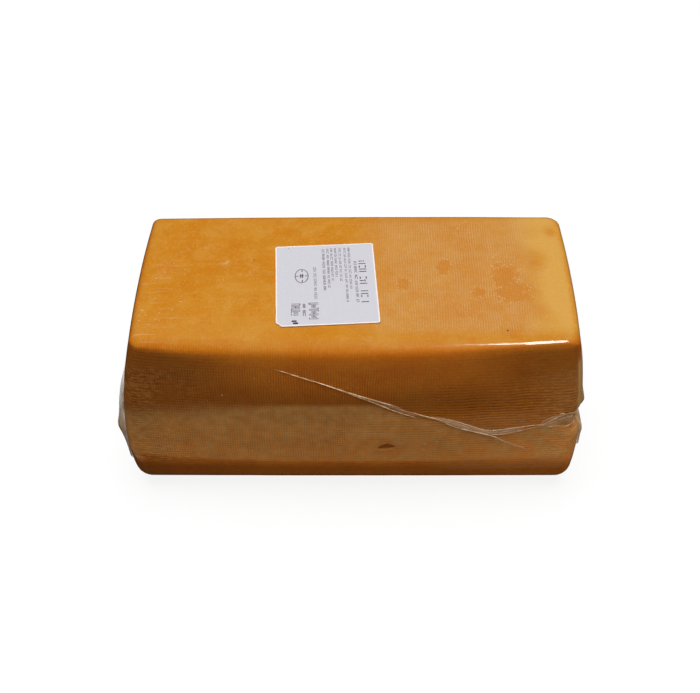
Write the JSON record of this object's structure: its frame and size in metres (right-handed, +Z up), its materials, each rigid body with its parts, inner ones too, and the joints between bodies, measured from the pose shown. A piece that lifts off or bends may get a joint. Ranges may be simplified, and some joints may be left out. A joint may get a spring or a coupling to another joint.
{
  "type": "vacuum packed smoked cheese loaf",
  "caption": "Brick-shaped loaf of smoked semi-hard cheese, vacuum sealed in clear film, with a plain paper label on its top.",
  "frame": {"origin": "middle of the flat underside, under the centre of the whole object's box", "axes": "+X along the loaf's length, +Y from its front face to its back, +Z up through the labelled top"},
  "size_m": [0.2535, 0.1308, 0.1091],
  "materials": {
    "cheese_in_film": "smoked orange-brown rind with a fine cloth print, under tight clear glossy film",
    "label_paper": null
  },
  "bodies": {
    "root": {"sealed_pack": "cheese_in_film", "label": "label_paper"}
  },
  "joints": []
}
